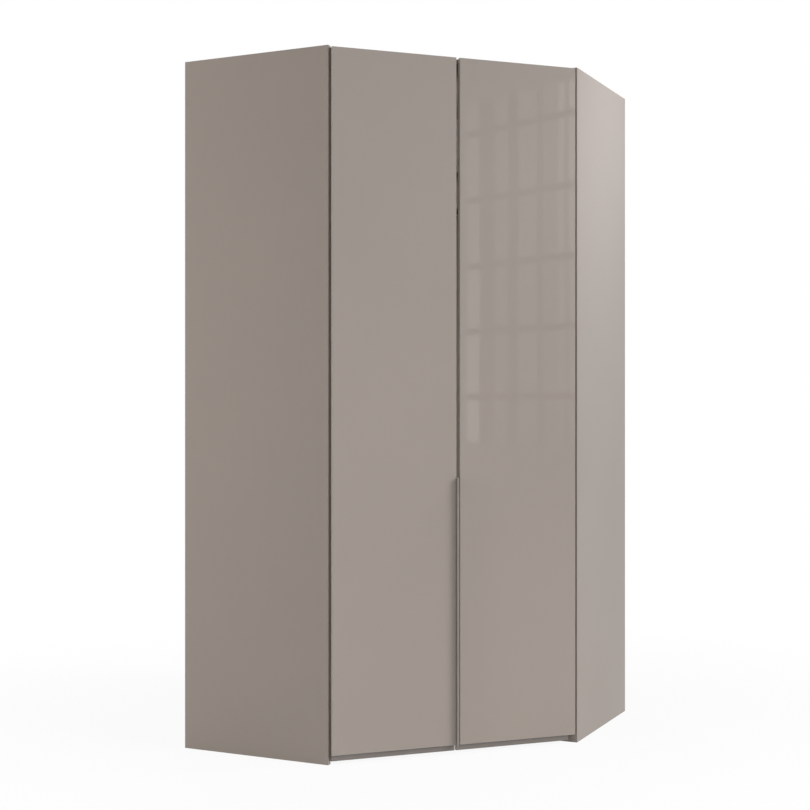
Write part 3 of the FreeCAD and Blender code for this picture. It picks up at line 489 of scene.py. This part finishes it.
def rubber_finish():
    """Cloudy pale rubber with an uneven dull skin."""
    material, tree, shader = blank_finish("bumper_rubber")
    place = place_of(tree)
    cloud = speckle(tree, place, 500.0, 3.0)
    tone = blended(tree, between(tree, cloud, 0.0, 1.0),
                   shaded(RUBBER_LINEAR, 0.9), shaded(RUBBER_LINEAR, 1.1))
    tree.links.new(tone, shader.inputs["Base Color"])
    tree.links.new(between(tree, cloud, 0.38, 0.55), shader.inputs["Roughness"])
    return material


low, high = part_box("door_bumpers")
bumper_outline = [(0.0, 0.0), (BUMPER_RADIUS, 0.0), (BUMPER_RADIUS, 0.0014), (0.0038, 0.0022),
                  (0.0033, 0.0029), (0.0025, 0.0034), (0.0014, 0.0036), (0.0, 0.0037)]
bumper_places = [(hand * (high.x - BUMPER_RADIUS), high.y, z)
                 for hand in (-1, 1) for z in (low.z + BUMPER_RADIUS, high.z - BUMPER_RADIUS)]
set_in(turned_pieces("bumper_domes", bumper_outline, bumper_places, (0, -1, 0)),
       rubber_finish(), "door_bumpers", "carcass")


# Grip: an extruded aluminium profile in a satin grey-brown coat, screwed to the edge of the right door's
# board. Its blade stands out in front of the glass for the fingers.

GRIP_LINEAR = (0.56, 0.53, 0.5)
# Painted shade: a near-black colour for the grip's front face.
GRIP_FRONT_PAINTED_SHADE_LINEAR = (0.04, 0.038, 0.036)
GRIP_SCREW_COUNT = 4


def grip_finish():
    """Satin coat over metal, with the extrusion's faint lines along it and worn corners; painted shade
    darkens the front face nearly to black.
    """
    material, tree, shader = blank_finish("grip_coat_and_painted_shade")
    place = place_of(tree)
    lines = speckle(tree, place, 900.0, 2.0, (1.0, 1.0, 0.01))
    cloud = speckle(tree, place, 12.0, 3.0)
    normal, edge = soft_edge(tree, 0.0004)
    tone = blended(tree, between(tree, cloud, 0.0, 1.0),
                   shaded(GRIP_LINEAR, 0.95), shaded(GRIP_LINEAR, 1.05))
    tone = blended(tree, between(tree, lines, 0.0, 0.15), tone, shaded(GRIP_LINEAR, 0.8))
    tone = blended(tree, between(tree, edge, 0.0, 0.35, 0.0, 1.0), tone, shaded(GRIP_LINEAR, 1.5))
    # Painted shade: faces that look straight to the front are darkened nearly to black.
    tone = blended(tree, between(tree, facing(tree, "Y"), 1.0, 0.0, -0.95, -0.8), tone, GRIP_FRONT_PAINTED_SHADE_LINEAR)
    tree.links.new(tone, shader.inputs["Base Color"])
    tree.links.new(between(tree, lines, 0.3, 0.42), shader.inputs["Roughness"])
    tree.links.new(raised(tree, lines, 0.00001, normal), shader.inputs["Normal"])
    shader.inputs["Metallic"].default_value = 0.35
    return material


dress(grip_finish(), "grip_profile")
low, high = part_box("grip_screws")
heights = np.linspace(low.z + SCREW_HEAD_RADIUS, high.z - SCREW_HEAD_RADIUS, GRIP_SCREW_COUNT)
grip_places = [(low.x + SCREW_HEAD_HEIGHT, (low.y + high.y) / 2, z) for z in heights]
set_in(turned_pieces("grip_pan_screws", screw_outline, grip_places, (-1, 0, 0), screw_cut),
       nickel, "grip_screws", "right_door")


# Studio floor: a round sheet of pale paper, laid flat under the wardrobe. It keeps a soft shadow at the foot
# and fades to plain white further out.

PAPER_LINEAR = (0.93, 0.93, 0.93)
WHITE_SHARE_AT_FOOT = 0.92
FADE_START = 1.0
FADE_END = 2.6
FLOOR_RADIUS = 14.0
FLOOR_RINGS = 24
FLOOR_SPOKES = 96


def floor_disc():
    """Flat disc: radius grows evenly along the rings, angle goes round along the spokes."""
    radius = np.linspace(FLOOR_RADIUS / FLOOR_RINGS, FLOOR_RADIUS, FLOOR_RINGS)[:, None]
    angle = np.linspace(0.0, 2.0 * np.pi, FLOOR_SPOKES, endpoint=False)[None, :]
    level = np.zeros((FLOOR_RINGS, FLOOR_SPOKES))
    points = np.stack([radius * np.cos(angle), radius * np.sin(angle), level], -1)
    index = np.arange(FLOOR_RINGS * FLOOR_SPOKES).reshape(FLOOR_RINGS, FLOOR_SPOKES)
    turned = np.roll(index, -1, 1)
    faces = np.stack([index[:-1], index[1:], turned[1:], turned[:-1]], -1).reshape(-1, 4).tolist()
    mesh = bpy.data.meshes.new("studio_floor")
    mesh.from_pydata(points.reshape(-1, 3).tolist(), [], faces + [index[0].tolist()])
    disc = bpy.data.objects.new("studio_floor", mesh)
    bpy.context.scene.collection.objects.link(disc)
    return disc


def background_rays(tree):
    """1 for what the camera sees, straight or in metal and glass, 0 for the light that falls on things."""
    ray = node(tree, "ShaderNodeLightPath")
    seen = ray.outputs["Is Camera Ray"]
    for name in ("Is Glossy Ray", "Is Transmission Ray"):
        larger = node(tree, "ShaderNodeMath", operation="MAXIMUM")
        tree.links.new(seen, larger.inputs[0])
        tree.links.new(ray.outputs[name], larger.inputs[1])
        seen = larger.outputs[0]
    return seen


def floor_finish():
    """White as seen, mixed with a share of lit paper that keeps the soft shadow near the foot."""
    material, tree, shader = blank_finish("studio_paper")
    shader.inputs["Base Color"].default_value = (*PAPER_LINEAR, 1.0)
    shader.inputs["Roughness"].default_value = 0.9
    white = node(tree, "ShaderNodeEmission", Strength=1.0)
    length = node(tree, "ShaderNodeVectorMath", operation="LENGTH")
    tree.links.new(place_of(tree), length.inputs[0])
    fade = between(tree, length.outputs["Value"], WHITE_SHARE_AT_FOOT, 1.0, FADE_START, FADE_END)
    share = node(tree, "ShaderNodeMath", operation="MULTIPLY")
    tree.links.new(fade, share.inputs[0])
    tree.links.new(background_rays(tree), share.inputs[1])
    mix = node(tree, "ShaderNodeMixShader")
    tree.links.new(share.outputs[0], mix.inputs[0])
    tree.links.new(shader.outputs[0], mix.inputs[1])
    tree.links.new(white.outputs[0], mix.inputs[2])
    tree.links.new(mix.outputs[0], tree.nodes["Material Output"].inputs["Surface"])
    return material


floor = floor_disc()
floor.data.materials.append(floor_finish())


# Studio window: a tall paned window at the right, a flat card of glowing panes that shows only as a faint
# mirror image in the right door's glass. The panes at its two ends are brighter than the ones between, one
# end low down and the other high up.

WINDOW_START = (1.359, -3.983)
WINDOW_END = (1.658, -3.127)
PANE_EDGES = (0.0, 0.114, 0.252, 0.365, 0.449, 0.604, 0.655, 0.775, 0.824, 0.86, 0.907)
LOW_GLOWS = (1.9, 0.86, 1.12, 0.82, 1.14, 0.84, 1.06, 1.2, 1.0, 1.15)
HIGH_GLOWS = (1.25, 0.8, 1.2, 0.76, 1.24, 0.78, 1.16, 1.75, 1.1, 2.0)
BAR_LEVELS = (1.23, 1.615, 2.0, 2.39, 2.785)
BAR_HALF = 0.02
BAR_GLOW = 0.73
WINDOW_LOW = 0.96
WINDOW_HIGH = 2.96


def studio_window():
    """Upright grid of quads: upright strips between the pane edges, cut by level bars of lower glow."""
    start, end = np.array(WINDOW_START), np.array(WINDOW_END)
    along = np.array(PANE_EDGES) / PANE_EDGES[-1]
    bars = np.array(BAR_LEVELS)[:, None] + np.array([-BAR_HALF, BAR_HALF])
    levels = np.concatenate([[WINDOW_LOW], bars.ravel(), [WINDOW_HIGH]])
    flat = start + along[:, None] * (end - start)
    points = np.concatenate([np.repeat(flat[:, None], len(levels), 1),
                             np.broadcast_to(levels[None, :, None], (len(along), len(levels), 1))], 2)
    index = np.arange(len(along) * len(levels)).reshape(len(along), len(levels))
    faces = np.stack([index[:-1, :-1], index[1:, :-1], index[1:, 1:], index[:-1, 1:]], -1)
    is_bar = np.arange(len(levels) - 1) % 2 == 1
    rise = np.linspace(0.0, 1.0, len(levels) - 1)
    panes = np.outer(LOW_GLOWS, 1.0 - rise) + np.outer(HIGH_GLOWS, rise)
    glow = np.where(is_bar, BAR_GLOW, panes)
    mesh = bpy.data.meshes.new("studio_window")
    mesh.from_pydata(points.reshape(-1, 3).tolist(), [], faces.reshape(-1, 4).tolist())
    mesh.attributes.new("glow", "FLOAT", "FACE").data.foreach_set("value", glow.ravel().astype(np.float32))
    window = bpy.data.objects.new("studio_window", mesh)
    bpy.context.scene.collection.objects.link(window)
    return window


def window_finish():
    """Plain white glow whose strength each pane carries itself."""
    material, tree, _ = blank_finish("window_glow")
    light = node(tree, "ShaderNodeEmission")
    glow = node(tree, "ShaderNodeAttribute", attribute_name="glow")
    tree.links.new(glow.outputs["Fac"], light.inputs["Strength"])
    tree.links.new(light.outputs[0], tree.nodes["Material Output"].inputs["Surface"])
    return material


window = studio_window()
window.data.materials.append(window_finish())
for reach in ("visible_camera", "visible_diffuse", "visible_transmission", "visible_shadow"):
    setattr(window, reach, False)


# Studio lamps: a broad far light from the right front, a beam on the right panel's upper part, a wash on
# the floor before the doors, a soft lamp at the left, a weak one behind, and two faint ones inside, so
# that the gaps round the doors aren't black.

WHITE = (1.0, 1.0, 1.0)
COOL = (0.95, 1.0, 1.1)
WARM = (1.02, 1.0, 0.97)


def set_light(name, kind, energy, tint):
    """New light that the glass doesn't mirror."""
    item = bpy.data.objects.new(name, bpy.data.lights.new(name, kind))
    item.data.energy = energy
    item.data.color = tint
    item.visible_glossy = False
    bpy.context.scene.collection.objects.link(item)
    return item


def far_light(name, turn, rise, spread, strength):
    """Even light from a far disc as wide as the spread, turned to the right of the front and risen, all in
    degrees."""
    item = set_light(name, "SUN", strength, WHITE)
    item.data.angle = math.radians(spread)
    item.rotation_euler = (math.radians(90.0 - rise), 0.0, math.radians(turn))


def lamp(name, place, target, width, height, power, tint=WHITE, spread=180.0):
    """Soft rectangular lamp that looks from its place at a target point; its beam opens by the spread, in
    degrees."""
    item = set_light(name, "AREA", power, tint)
    item.data.shape = "RECTANGLE"
    item.data.size = width
    item.data.size_y = height
    item.data.spread = math.radians(spread)
    item.location = place
    item.rotation_euler = (Vector(target) - Vector(place)).to_track_quat("-Z", "Y").to_euler()


far_light("far_key", 48.0, 25.0, 32.0, 1.9)
lamp("high_key", (1.9, -0.85, 3.3), (0.6, -0.45, 2.05), 0.6, 0.6, 2.4, COOL, 44.0)
lamp("floor_wash", (0.7, -1.7, 2.6), (0.7, -1.7, 0.0), 0.6, 0.6, 2.6, WHITE, 60.0)
lamp("left_fill", (-6.6, -1.15, 1.4), (-0.6, -0.4, 1.2), 2.4, 3.6, 189.0, WARM)
lamp("back_fill", (0.6, 4.8, 1.8), (0.0, 0.3, 1.2), 2.4, 2.4, 90.0)
lamp("lower_inside", (0.0, -0.5, 1.04), (0.0, 0.6, 1.04), 0.7, 1.68, 4.8)
lamp("upper_inside", (0.1, -0.5, 2.12), (0.1, 0.3, 2.24), 0.8, 0.2, 1.5, WHITE, 110.0)


# Studio surround: an even white all round. It is full white where it is seen, and weaker in the light that
# it sheds on the wardrobe, so that the lamps shape it.

SURROUND_LIGHT = 0.25

world = bpy.data.worlds.new("white_studio")
world.use_nodes = True
bpy.context.scene.world = world
backdrop = world.node_tree.nodes["Background"]
backdrop.inputs["Color"].default_value = (1.0, 1.0, 1.0, 1.0)
strength = between(world.node_tree, background_rays(world.node_tree), SURROUND_LIGHT, 1.0, 0.0, 1.0)
world.node_tree.links.new(strength, backdrop.inputs["Strength"])


# Camera: level, at half the wardrobe's height, to the left of the doors and turned to them. The lens shift
# sets the wardrobe where the photograph has it.

CAMERA_PLACE = (-1.7127, -5.0547, 1.18)
CAMERA_TURN = math.radians(-20.201)
CAMERA_LENS = 62.644
CAMERA_SHIFT = -0.03846
SENSOR_WIDTH = 36.0

camera_data = bpy.data.cameras.new("photo_camera")
camera_data.lens = CAMERA_LENS
camera_data.sensor_width = SENSOR_WIDTH
camera_data.shift_x = CAMERA_SHIFT
camera = bpy.data.objects.new("photo_camera", camera_data)
camera.location = CAMERA_PLACE
camera.rotation_euler = (math.radians(90.0), 0.0, CAMERA_TURN)
bpy.context.scene.collection.objects.link(camera)
bpy.context.scene.camera = camera
bpy.context.scene.view_settings.view_transform = "Standard"
